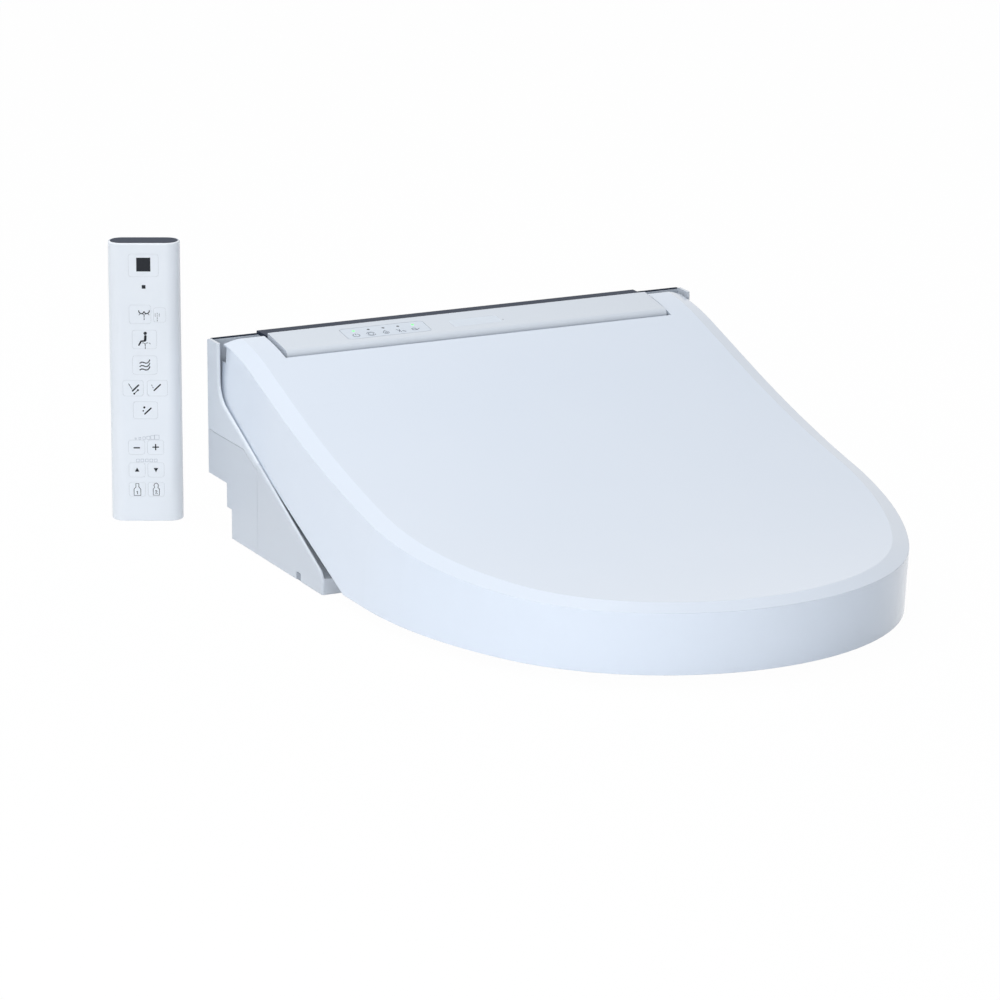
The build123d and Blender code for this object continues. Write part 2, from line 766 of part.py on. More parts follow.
pocket_section = under + pocket_line + [(front_y, edge_z(front_y, pocket_drop))]
seam_top = (side_seam_y, edge_z(side_seam_y, pocket_drop))
flank_section = [(side_seam_y, 0)] + under[1:] + pocket_line + [seam_top]
tray_sections = [
    (core_section(tray_top), core_section(parting_z + brow_z), core_half),
    (pocket_section, pocket_section, tray_half),
    (flank_section, flank_section, housing_half),
]
outlet_w = blower_t - 2 * blower_wall
outlet_x = blower_x + blower_t / 2
flap_z = duct_low_z + duct_h + flap_pin_r
flap_y = front_y - gap - flap_t / 2
flap_half = outlet_w / 2 + lug_t / 2
wand_plane = Plane(
    origin=(0, wand_y, wand_z),
    x_dir=(1, 0, 0),
    z_dir=(0, -cos(wand_tilt), -sin(wand_tilt)),
)
with BuildPart() as base_tray:
    for outside, inside, half in tray_sections:
        with BuildSketch(Plane.YZ):
            with BuildLine():
                Polyline(*outside, close=True)
            make_face()
        extrude(amount=half, both=True)
    for side in (-1, 1):
        with BuildSketch(Plane.YZ.offset(side * cheek_in)):
            with BuildLine():
                Polyline(
                    (rear_y, pocket_z - wall),
                    (rear_y, tray_top),
                    (tongue_y, tray_top),
                    (side_seam_y, edge_z(side_seam_y) - tongue_w - gap),
                    (side_seam_y, edge_z(side_seam_y, pocket_drop) - wall),
                    (pocket_y, pocket_z - wall),
                    close=True,
                )
            make_face()
        extrude(amount=side * cheek_wall)
    with Locations((0, rear_y - wall / 2, pocket_z - wall)):
        Box(2 * housing_half, wall, tray_top - pocket_z + wall, align=on_floor)
    for outside, inside, half in tray_sections:
        with BuildSketch(Plane.YZ):
            with BuildLine():
                Polyline(*inside, close=True)
            make_face()
            offset(amount=-wall, kind=Kind.INTERSECTION, mode=Mode.REPLACE)
        extrude(amount=half - wall, both=True, mode=Mode.SUBTRACT)
    plate_mid = (plate_front_y + plate_rear_y) / 2
    plate_d = plate_rear_y - plate_front_y
    with Locations((0, plate_mid, 0)):
        Box(2 * (plate_half + gap + wall), plate_d + 2 * (gap + wall), pan_top, align=on_floor)
    with Locations((-bolt_spacing / 2, 0, 0), (bolt_spacing / 2, 0, 0)):
        Box(
            bolt_slot_length + 2 * (wall + bolt_slot_r),
            4 * bolt_slot_r + 2 * wall,
            plate_t + bolt_dome + wall,
            align=on_floor,
        )
    with Locations((0, plate_mid, 0)):
        Box(2 * (plate_half + gap), plate_d + 2 * gap, plate_t + gap, align=on_floor, mode=Mode.SUBTRACT)
    with Locations((-bolt_spacing / 2, 0, 0), (bolt_spacing / 2, 0, 0)):
        Box(
            bolt_slot_length + 2 * bolt_slot_r,
            4 * bolt_slot_r,
            plate_t + bolt_dome,
            align=on_floor,
            mode=Mode.SUBTRACT,
        )
    for x, y in screw_places:
        with Locations((x, y, 0)):
            Cylinder(screw_pad_r, screw_pad_t, align=on_floor)
            Cylinder(screw_r + running, 4 * screw_pad_t, mode=Mode.SUBTRACT)
            Cylinder(screw_head_r + gap, screw_head_t + gap, align=on_floor, mode=Mode.SUBTRACT)
    with BuildSketch(wand_plane.offset(-guide_low)):
        Circle(wand_r + wand_port)
    extrude(amount=2 * guide_low, mode=Mode.SUBTRACT)
    with Locations((outlet_x, front_y + wall / 2, duct_low_z + duct_h / 2)):
        Box(outlet_w - 2 * blower_wall, 2 * wall, duct_h - 2 * blower_wall, mode=Mode.SUBTRACT)
    for side in (-1, 1):
        lug_x = outlet_x + side * (flap_half + gap + lug_t / 2)
        with Locations((lug_x, (flap_y - flap_t + front_y) / 2, flap_z)):
            Box(lug_t, front_y - flap_y + flap_t, 2 * flap_t + flap_pin_r)
    with Locations(across(outlet_x, flap_y, flap_z)):
        Cylinder(flap_pin_r + running, 2 * (flap_half + gap + 2 * lug_t), mode=Mode.SUBTRACT)
    with Locations((housing_half, filter_y, filter_z)):
        Box(4 * wall, filter_w + 2 * gap, filter_h + 2 * gap, mode=Mode.SUBTRACT)
    with Locations((inlet_x, inlet_y, overhang_z)):
        Cylinder(inlet_neck_r + seating, 4 * wall, mode=Mode.SUBTRACT)
    with Locations(Plane(origin=(plug_x, step_y, plug_z), z_dir=(0, 1, 0))):
        Cylinder(plug_stem_r + running, 4 * wall, mode=Mode.SUBTRACT)
    with Locations(Plane(origin=(gland_x, rear_y, gland_z), z_dir=(0, 1, 0))):
        Cylinder(gland_r + seating, 4 * wall, mode=Mode.SUBTRACT)
keep(base_tray, "base_tray")

# Front side covers, which carry the sloping cheek down to the feet
cover_y = side_seam_y - gap
cover_low_z = edge_z(foot_flat_y, pocket_drop)
blade = [
    (foot_front_y, 0),
    (cover_y, 0),
    (cover_y, edge_z(cover_y)),
    (foot_front_y, edge_z(foot_front_y)),
]
block = [
    (foot_front_y, 0),
    (cover_y, 0),
    (cover_y, edge_z(cover_y, pocket_drop)),
    (foot_flat_y, cover_low_z),
    (foot_front_y, cover_low_z),
]
hollow = [
    (foot_flat_y + pocket_drop, wall),
    (cover_y - wall, wall),
    (cover_y - wall, edge_z(cover_y - wall, pocket_drop) - wall),
    (foot_flat_y + pocket_drop, edge_z(foot_flat_y + pocket_drop, pocket_drop) - wall),
]
for side, name in ((-1, "side_cover_left"), (1, "side_cover_right")):
    with BuildPart() as side_cover:
        with BuildSketch(Plane.YZ.offset(side * (tray_half + gap))):
            with BuildLine():
                Polyline(*block, close=True)
            make_face()
        extrude(amount=side * (cheek_in - tray_half))
        with BuildSketch(Plane.YZ.offset(side * cheek_in)) as cheek:
            with BuildLine():
                Polyline(*blade, close=True)
            make_face()
            fillet(cheek.vertices().group_by(Axis.X)[0].sort_by(Axis.Y)[-1], foot_round)
        extrude(amount=side * cheek_wall)
        flank = side_cover.faces().sort_by(lambda face: side * face.center().X)[-1]
        free = [e for e in flank.edges() if e.center().Y < cover_y - gap and e.center().Z > gap]
        fillet(free, lip_round)
        with BuildSketch(Plane.YZ.offset(side * tray_half)):
            with BuildLine():
                Polyline(*hollow, close=True)
            make_face()
        extrude(amount=side * (cheek_in - tray_half - wall), mode=Mode.SUBTRACT)
        if side < 0:
            with Locations((-housing_half, button_y, 0)):
                Box(
                    2 * (button_length + button_travel + gap),
                    button_w + 2 * gap,
                    2 * (button_h + gap),
                    mode=Mode.SUBTRACT,
                )
    keep(side_cover, name)

with BuildPart() as release_button:
    with Locations((-housing_half, button_y, gap)):
        Box(button_length, button_w, button_h - gap, align=(Align.MIN, Align.CENTER, Align.MIN))
    fillet(release_button.faces().sort_by(Axis.X)[0].edges(), gap)
keep(release_button, "release_button")

# Mounting plate, bolted to the bowl through two slots
with BuildPart() as mounting_plate:
    with BuildSketch():
        with Locations((0, plate_mid)):
            RectangleRounded(2 * plate_half, plate_d, bolt_slot_r)
        with Locations((-bolt_spacing / 2, 0), (bolt_spacing / 2, 0)):
            SlotOverall(bolt_slot_length, 2 * bolt_slot_r, mode=Mode.SUBTRACT)
    extrude(amount=plate_t)
keep(mounting_plate, "mounting_plate")

with BuildPart() as casing_screws:
    for x, y in screw_places:
        with Locations((x, y, gap)):
            Cylinder(screw_head_r, screw_head_t - gap, align=on_floor)
            Cylinder(screw_r, screw_pad_t + screw_grip - gap, align=on_floor)
keep(casing_screws, "casing_screws")

# Hinge pins in the cover's walls, and the dampers behind them
pin_start = core_half - hinge_boss_t
pin_end = ear_x + ear_t + pin_tail
with BuildPart() as hinge_pins:
    for side in (-1, 1):
        with Locations(across(side * (pin_start + pin_end) / 2, axis_y, axis_z)):
            Cylinder(pin_r, pin_end - pin_start)
keep(hinge_pins, "hinge_pins")

with BuildPart() as hinge_dampers:
    for side in (-1, 1):
        with Locations(across(side * (pin_start - gap - damper_length / 2), axis_y, axis_z)):
            Cylinder(damper_r, damper_length)
keep(hinge_dampers, "hinge_dampers")

# Wash wand on its sloping axis, and its guide
with BuildPart() as wand:
    with BuildSketch(wand_plane.offset(-wand_length)):
        Circle(wand_r)
    extrude(amount=wand_length)
    fillet(wand.edges().sort_by(Axis.Y)[0], wand_r / 4)
keep(wand, "wand")

guide_mid = guide_low + guide_length / 2
guide_r = wand_r + running + guide_wall
guide_y = wand_y + guide_mid * cos(wand_tilt)
guide_z = wand_z + guide_mid * sin(wand_tilt)
with BuildPart() as wand_guide:
    with BuildSketch(wand_plane.offset(-guide_low - guide_length)):
        Circle(guide_r)
    extrude(amount=guide_length)
    foot_h = guide_z - floor_z
    with Locations((0, guide_y, floor_z)):
        Box(guide_r, guide_r, foot_h, align=on_floor)
    with BuildSketch(wand_plane.offset(-wand_length)):
        Circle(wand_r + running)
    extrude(amount=wand_length, mode=Mode.SUBTRACT)
keep(wand_guide, "wand_guide")

# Dryer: scroll case, motor, impeller, duct and outlet flap
spout_low = blower_z - blower_r
spout_y = blower_y - blower_r
with BuildPart() as dryer_case:
    with Locations(across(blower_x, blower_y, blower_z)):
        Cylinder(blower_r, blower_t, align=on_floor)
    with Locations((outlet_x, (spout_y + blower_y) / 2, spout_low)):
        Box(blower_t, blower_r, duct_h, align=on_floor)
    with Locations(across(blower_x + blower_wall, blower_y, blower_z)):
        Cylinder(blower_r - blower_wall, blower_t - 2 * blower_wall, align=on_floor, mode=Mode.SUBTRACT)
    with Locations((outlet_x, (spout_y + blower_y) / 2, spout_low + blower_wall)):
        Box(outlet_w, blower_r, duct_h - 2 * blower_wall, align=on_floor, mode=Mode.SUBTRACT)
    with Locations((outlet_x, spout_y, spout_low + blower_wall)):
        Box(outlet_w, blower_wall, duct_h - 2 * blower_wall, align=on_floor, mode=Mode.SUBTRACT)
    with Locations(across(blower_x, blower_y, blower_z)):
        Cylinder(impeller_r / 2, 4 * blower_wall, mode=Mode.SUBTRACT)
    with Locations(across(blower_x + blower_t, blower_y, blower_z)):
        Cylinder(shaft_r + seating, 4 * blower_wall, mode=Mode.SUBTRACT)
keep(dryer_case, "dryer_case")

impeller_x = blower_x + (blower_t - impeller_t) / 2
with BuildPart() as dryer_motor:
    with Locations(across(blower_x + blower_t + gap, blower_y, blower_z)):
        Cylinder(motor_r, motor_length, align=on_floor)
    with Locations(across(impeller_x, blower_y, blower_z)):
        Cylinder(shaft_r, blower_t, align=on_floor)
keep(dryer_motor, "dryer_motor")

with BuildPart() as dryer_impeller:
    with Locations(across(impeller_x, blower_y, blower_z)):
        Cylinder(impeller_hub_r, impeller_t, align=on_floor)
        Cylinder(impeller_r, blower_wall, align=on_floor)
        blade_start = impeller_hub_r + shaft_r
        with PolarLocations((impeller_r + blade_start) / 2, blade_count):
            Box(impeller_r - blade_start, blade_t, impeller_t, align=on_floor)
        Cylinder(shaft_r + running, 3 * impeller_t, mode=Mode.SUBTRACT)
keep(dryer_impeller, "dryer_impeller")

duct_rear = spout_y - gap
duct_front = front_y + wall + gap
with BuildPart() as dryer_duct:
    with BuildSketch(Plane.YZ.offset(blower_x)):
        with BuildLine():
            Polyline(
                (duct_rear, spout_low),
                (duct_rear, spout_low + duct_h),
                (duct_front, duct_low_z + duct_h),
                (duct_front, duct_low_z),
                close=True,
            )
        make_face()
    extrude(amount=blower_t)
    with BuildSketch(Plane.YZ.offset(blower_x + blower_wall)):
        with BuildLine():
            Polyline(
                (duct_rear + wall, spout_low + blower_wall),
                (duct_rear + wall, spout_low + duct_h - blower_wall),
                (duct_rear, spout_low + duct_h - blower_wall),
                (duct_front, duct_low_z + duct_h - blower_wall),
                (duct_front - wall, duct_low_z + duct_h - blower_wall),
                (duct_front - wall, duct_low_z + blower_wall),
                (duct_front, duct_low_z + blower_wall),
                (duct_rear, spout_low + blower_wall),
                close=True,
            )
        make_face()
    extrude(amount=outlet_w, mode=Mode.SUBTRACT)
keep(dryer_duct, "dryer_duct")

with BuildPart() as dryer_flap:
    with Locations((outlet_x, flap_y, flap_z)):
        Box(2 * flap_half, flap_t, duct_h, align=(Align.CENTER, Align.CENTER, Align.MAX))
    with Locations(across(outlet_x, flap_y, flap_z)):
        Cylinder(flap_pin_r, 2 * (flap_half + gap + lug_t))
keep(dryer_flap, "dryer_flap")

# Deodoriser behind the right flank: housing, fan and pull-out filter
filter_end = housing_half
filter_start = filter_end - filter_length
fan_start = filter_start - fan_bay
with BuildPart() as filter_housing:
    with Locations((fan_start, filter_y, filter_z)):
        Box(
            cheek_in - gap - fan_start,
            filter_w + 2 * (gap + filter_wall),
            filter_h + 2 * (gap + filter_wall),
            align=from_left,
        )
    with Locations((fan_start + filter_wall, filter_y, filter_z)):
        Box(
            filter_length + fan_bay, filter_w + 2 * gap, filter_h + 2 * gap,
            align=from_left, mode=Mode.SUBTRACT,
        )
    with Locations(across(fan_start, filter_y, filter_z)):
        Cylinder(shaft_r, fan_length + 2 * filter_wall, align=on_floor)
keep(filter_housing, "filter_housing")

with BuildPart() as deodoriser_fan:
    with Locations(across(fan_start + 2 * filter_wall, filter_y, filter_z)):
        Cylinder(fan_hub_r, fan_length, align=on_floor)
        fan_root = (fan_hub_r + shaft_r) / 2
        with PolarLocations((fan_r + fan_root) / 2, fan_blade_count):
            Box(fan_r - fan_root, fan_blade_t, fan_length, align=on_floor)
        Cylinder(shaft_r + running, 3 * fan_length, mode=Mode.SUBTRACT)
keep(deodoriser_fan, "deodoriser_fan")

with BuildPart() as filter_cartridge:
    with Locations((filter_start, filter_y, filter_z)):
        Box(filter_length, filter_w, filter_h, align=from_left)
    with Locations((filter_start, filter_y, filter_z)):
        Box(
            filter_length - 2 * wall, filter_w - 2 * wall, filter_h - 2 * wall,
            align=from_left, mode=Mode.SUBTRACT,
        )
    with Locations((filter_end, filter_y, filter_z - filter_h / 4)):
        Box(wall, filter_w / 2, wall / 2, mode=Mode.SUBTRACT)
keep(filter_cartridge, "filter_cartridge")

# Water path: inlet, solenoid valve, heater, distribution valve, hoses, drain plug
with BuildPart() as water_inlet:
    inlet_end = overhang_z - gap - inlet_length
    with Locations((inlet_x, inlet_y, inlet_end)):
        Cylinder(inlet_r, inlet_length, align=on_floor)
        Cylinder(inlet_neck_r, rear_floor - inlet_end, align=on_floor)
    with Locations((inlet_x, inlet_y, rear_floor)):
        Cylinder(inlet_flange_r, inlet_flange_t, align=on_floor)
    with Locations((inlet_x, inlet_y, inlet_end)):
        Cylinder(inlet_bore_r, inlet_length + wall, align=on_floor, mode=Mode.SUBTRACT)
keep(water_inlet, "water_inlet")

with BuildPart() as solenoid_valve:
    with Locations((valve_x, inlet_y, rear_floor)):
        Box(valve_w, valve_d, valve_h, align=on_floor)
    with Locations((valve_x + valve_w / 4, inlet_y, rear_floor + valve_h)):
        Cylinder(coil_r, coil_length, align=on_floor)
    with Locations((valve_x - valve_w / 4, inlet_y, rear_floor + valve_h)):
        Cylinder(hose_r, hose_r, align=on_floor)
    fillet(solenoid_valve.edges().filter_by(Axis.Z), wall / 2)
keep(solenoid_valve, "solenoid_valve")

with BuildPart() as water_heater:
    with Locations((heater_x, heater_y, pan_floor)):
        Box(heater_w, heater_d, heater_h, align=on_floor)
    fillet(water_heater.edges().filter_by(Axis.Z), 2 * wall)
    with Locations(
        (heater_x - heater_w / 3, heater_y, pan_floor + heater_h),
        (heater_x + heater_w / 3, heater_y, pan_floor + heater_h),
    ):
        Cylinder(hose_r, hose_r, align=on_floor)
keep(water_heater, "water_heater")

with BuildPart() as distribution_valve:
    with Locations((spread_x, heater_y, pan_floor)):
        Cylinder(spread_r, spread_h, align=on_floor)
        Cylinder(hose_r, spread_h + hose_r, align=on_floor)
keep(distribution_valve, "distribution_valve")

stub_top = pan_floor + heater_h + hose_r
hose_ends = {
    "hose_inlet": (
        (valve_x - valve_w / 4, inlet_y, rear_floor + valve_h + hose_r),
        (heater_x - heater_w / 3, heater_y, stub_top),
    ),
    "hose_wash": (
        (heater_x + heater_w / 3, heater_y, stub_top),
        (spread_x, heater_y, pan_floor + spread_h + hose_r),
    ),
}
for name, (start, end) in hose_ends.items():
    with BuildPart() as hose:
        with BuildLine() as path:
            FilletPolyline(
                start,
                (start[0], start[1], hose_top_z),
                (end[0], end[1], hose_top_z),
                end,
                radius=hose_bend,
            )
        with BuildSketch(Plane(origin=start, z_dir=(0, 0, 1))):
            Circle(hose_r)
        sweep(path=path.wires()[0])
    keep(hose, name)

with BuildPart() as drain_plug:
    with Locations(Plane(origin=(plug_x, step_y + gap, plug_z), z_dir=(0, 1, 0))):
        Cylinder(plug_r, plug_head, align=on_floor)
    with Locations(Plane(origin=(plug_x, step_y + gap, plug_z), z_dir=(0, -1, 0))):
        Cylinder(plug_stem_r, plug_stem, align=on_floor)
    with Locations((plug_x, step_y + gap + plug_head, plug_z)):
        Box(2 * plug_r, plug_head / 2, plug_r / 3, mode=Mode.SUBTRACT)
keep(drain_plug, "drain_plug")

# Electric parts
with BuildPart() as main_board:
    with Locations((board_x, (board_front_y + board_rear_y) / 2, floor_z)):
        Box(board_t, board_rear_y - board_front_y, board_h, align=on_floor)
    with Locations((board_x - board_t / 2, (board_front_y + board_rear_y) / 2, floor_z + board_h / 2)):
        Box(chip_t, chip_w, chip_w, align=(Align.MAX, Align.CENTER, Align.CENTER))
keep(main_board, "main_board")

with BuildPart() as power_module:
    with Locations((board_x + board_t / 2 + gap, module_front_y, floor_z)):
        Box(module_t, module_d, module_h, align=(Align.MIN, Align.MIN, Align.MIN))
    fillet(power_module.edges().filter_by(Axis.Z), wall / 2)
keep(power_module, "power_module")

with BuildPart() as power_gland:
    with Locations(Plane(origin=(gland_x, rear_inner, gland_z), z_dir=(0, 1, 0))):
        Cylinder(gland_r, wall + gap, align=on_floor)
    with Locations(Plane(origin=(gland_x, rear_y + gap, gland_z), z_dir=(0, 1, 0))):
        Cylinder(gland_flange_r, gland_flange_t, align=on_floor)
    with Locations(Plane(origin=(gland_x, rear_y, gland_z), z_dir=(0, 1, 0))):
        Cylinder(gland_bore_r, 8 * wall, mode=Mode.SUBTRACT)
keep(power_gland, "power_gland")

# Remote control, standing upright and turned to the viewer
remote_right = (cos(remote_turn), -sin(remote_turn), 0)
remote_front_way = (-sin(remote_turn), -cos(remote_turn), 0)
remote_plan = Plane(origin=(remote_x, remote_y, 0), x_dir=remote_right, z_dir=(0, 0, 1))
remote_face = Plane(
    origin=(
        remote_x + remote_front_way[0] * remote_t / 2,
        remote_y + remote_front_way[1] * remote_t / 2,
        0,
    ),
    x_dir=remote_right,
    z_dir=remote_front_way,
)
case_h = remote_h - remote_cap_t - gap
split_gap = gap / 2
key_depth = remote_wall + key_lift

for side, name in ((-1, "remote_front"), (1, "remote_back")):
    with BuildPart() as remote_case:
        with BuildSketch(remote_plan):
            RectangleRounded(remote_w, remote_t, remote_corner)
        extrude(amount=remote_h)
        fillet(remote_case.faces().filter_by(Axis.Z).edges(), remote_edge)
        with BuildSketch(remote_plan):
            with Locations((0, -side * (remote_t / 2 - split_gap / 2))):
                Rectangle(2 * remote_w, remote_t)
        extrude(amount=remote_h, mode=Mode.SUBTRACT)
        with BuildSketch(remote_plan.offset(remote_wall)):
            RectangleRounded(
                remote_w - 2 * remote_wall, remote_t - 2 * remote_wall, remote_corner - remote_wall
            )
        extrude(amount=case_h - 2 * remote_wall, mode=Mode.SUBTRACT)
        with BuildSketch(remote_plan.offset(case_h)):
            RectangleRounded(remote_w - 2 * remote_rim, remote_t - 2 * remote_rim, remote_corner - remote_rim)
        extrude(amount=remote_h - case_h, mode=Mode.SUBTRACT)
        if side < 0:
            for place, size in keys.values():
                with BuildSketch(remote_face.offset(-2 * remote_wall)):
                    with Locations(place):
                        RectangleRounded(size[0] + 2 * key_gap, size[1] + 2 * key_gap, key_corner)
                extrude(amount=4 * remote_wall, mode=Mode.SUBTRACT)
        else:
            with BuildSketch(remote_face.offset(-remote_t - remote_wall)):
                with Locations((0, door_low_z + door_h / 2)):
                    RectangleRounded(door_w, door_h, key_corner)
            extrude(amount=3 * remote_wall, mode=Mode.SUBTRACT)
    keep(remote_case, name)

cap_in = remote_rim + split_gap
with BuildPart() as remote_cap:
    with BuildSketch(remote_plan.offset(remote_h - remote_cap_t)):
        RectangleRounded(remote_w - 2 * cap_in, remote_t - 2 * cap_in, remote_corner - cap_in)
    extrude(amount=remote_cap_t)
keep(remote_cap, "remote_cap")

for name, (place, size) in keys.items():
    with BuildPart() as key:
        with BuildSketch(remote_face.offset(-key_depth)):
            with Locations(place):
                RectangleRounded(size[0], size[1], key_corner)
        extrude(amount=key_depth)
        with BuildSketch(remote_face.offset(-key_depth - key_flange_t)):
            with Locations(place):
                RectangleRounded(size[0] + 2 * key_flange, size[1] + 2 * key_flange, key_corner)
        extrude(amount=key_flange_t)
    keep(key, name)

pcb_depth = key_depth + key_flange_t + key_travel + gap
with BuildPart() as remote_board:
    with BuildSketch(remote_face.offset(-pcb_depth - pcb_t)):
        with Locations((0, case_h / 2)):
            Rectangle(remote_w - 2 * (remote_wall + pcb_margin), case_h - 2 * (remote_wall + pcb_margin))
    extrude(amount=pcb_t)
keep(remote_board, "remote_board")

cell_depth = pcb_depth + pcb_t + gap + cell_r
with BuildPart() as remote_cells:
    with BuildSketch(remote_plan.offset(cell_low_z)):
        with Locations((-cell_r - gap, cell_depth - remote_t / 2), (cell_r + gap, cell_depth - remote_t / 2)):
            Circle(cell_r)
    extrude(amount=cell_length)
keep(remote_cells, "remote_cells")

with BuildPart() as battery_door:
    with BuildSketch(remote_face.offset(-remote_t)):
        with Locations((0, door_low_z + door_h / 2)):
            RectangleRounded(door_w - 2 * gap, door_h - 2 * gap, key_corner - gap)
    extrude(amount=remote_wall)
keep(battery_door, "battery_door")
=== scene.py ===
from math import atan2, cos, pi, radians, sin

import bmesh
import bpy
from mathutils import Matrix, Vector


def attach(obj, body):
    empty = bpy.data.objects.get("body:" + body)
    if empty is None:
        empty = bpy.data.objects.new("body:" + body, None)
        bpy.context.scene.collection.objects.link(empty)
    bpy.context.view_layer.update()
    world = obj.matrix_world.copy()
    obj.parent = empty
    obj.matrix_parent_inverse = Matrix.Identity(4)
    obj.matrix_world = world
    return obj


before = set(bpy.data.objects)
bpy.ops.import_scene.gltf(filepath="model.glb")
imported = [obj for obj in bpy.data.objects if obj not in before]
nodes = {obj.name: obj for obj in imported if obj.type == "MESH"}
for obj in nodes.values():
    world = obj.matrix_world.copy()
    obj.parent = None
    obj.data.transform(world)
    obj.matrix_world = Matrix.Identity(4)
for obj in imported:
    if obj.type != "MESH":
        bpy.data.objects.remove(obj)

for spare in ("Cube", "Light", "Camera"):
    if spare in bpy.data.objects:
        bpy.data.objects.remove(bpy.data.objects[spare])
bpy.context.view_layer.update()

mm = 0.001


def tone(red, green, blue):
    # screen values from 0 to 255 as a linear colour
    def linear(value):
        share = value / 255
        return share / 12.92 if share <= 0.04045 else ((share + 0.055) / 1.055) ** 2.4

    return (linear(red), linear(green), linear(blue), 1.0)


# a socket that takes part in Python sums
class Wire:
    def __init__(self, tree, socket=None):
        self.tree = tree
        self.socket = socket

    def node(self, kind, settings=None, sockets=None, out=0):
        made = self.tree.nodes.new(kind)
        for name, value in (settings or {}).items():
            setattr(made, name, value)
        for name, value in (sockets or {}).items():
            if isinstance(value, Wire):
                self.tree.links.new(value.socket, made.inputs[name])
            else:
                made.inputs[name].default_value = value
        return Wire(self.tree, made.outputs[out])

    def sum(self, operation, first, second, clamp=False):
        return self.node("ShaderNodeMath", {"operation": operation, "use_clamp": clamp}, {0: first, 1: second})

    def __add__(self, other):
        return self.sum("ADD", self, other)

    def __radd__(self, other):
        return self.sum("ADD", other, self)

    def __sub__(self, other):
        return self.sum("SUBTRACT", self, other)

    def __mul__(self, other):
        return self.sum("MULTIPLY", self, other)

    def __rmul__(self, other):
        return self.sum("MULTIPLY", other, self)

    def __lt__(self, other):
        return self.sum("LESS_THAN", self, other)

    def __abs__(self):
        return self.node("ShaderNodeMath", {"operation": "ABSOLUTE"}, {0: self})

    def clamped(self):
        return self.sum("ADD", self, 0.0, clamp=True)

    def mix(self, first, second):
        return self.node("ShaderNodeMix", {"data_type": "RGBA"}, {0: self, 6: first, 7: second}, out=2)


def startFinish(name, fixed):
    # a material with its constant sockets set, ready for wires
    material = bpy.data.materials.new(name)
    material.use_nodes = True
    shader = material.node_tree.nodes["Principled BSDF"]
    for socket, value in fixed.items():
        shader.inputs[socket].default_value = value
    return material, Wire(material.node_tree), shader


def feed(material, shader, **wires):
    # join the wires to the shader's varying sockets
    names = {"colour": "Base Color", "rough": "Roughness", "coat": "Coat Weight", "normal": "Normal",
             "glow": "Emission Color"}
    for key, wire in wires.items():
        material.node_tree.links.new(wire.socket, shader.inputs[names[key]])
    return material


def place(wire):
    return wire.node("ShaderNodeTexCoord", out="Object")


def noise(wire, where, scale, detail=3.0, rough=0.5):
    sockets = {"Vector": where, "Scale": scale, "Detail": detail, "Roughness": rough}
    return wire.node("ShaderNodeTexNoise", {}, sockets, out="Fac")


def softEdge(wire, radius):
    return wire.node("ShaderNodeBevel", {"samples": 4}, {"Radius": radius})


def bump(wire, height, distance, strength, normal=None):
    sockets = {"Height": height, "Distance": distance, "Strength": strength}
    if normal is not None:
        sockets["Normal"] = normal
    return wire.node("ShaderNodeBump", {}, sockets)


plasticBase = dict(coatRough=0.05, shine=0.5, coat=0.0, coatSpread=0.04)  # shared by all the plastics


def mouldedPlastic(name, look):
    # a moulded shell: faint flow tint, uneven gloss, fine skin, rounded edges
    fixed = {"IOR": look["ior"], "Coat Roughness": plasticBase["coatRough"],
             "Specular IOR Level": look.get("shine", plasticBase["shine"])}
    material, wire, shader = startFinish(name, fixed)
    where = place(wire)
    flow = noise(wire, where, look["flowScale"], detail=2.0)
    skin = noise(wire, where, look["skinScale"], detail=4.0, rough=0.6)
    colour = flow.mix(look["shade"], look["colour"])
    rough = look["rough"] + look["roughSpread"] * (skin - 0.5)
    coat = look.get("coat", plasticBase["coat"]) + plasticBase["coatSpread"] * flow
    normal = bump(wire, skin, look["skinDepth"], look["skinStrength"], softEdge(wire, look["edge"]))
    return feed(material, shader, colour=colour, rough=rough, coat=coat, normal=normal)


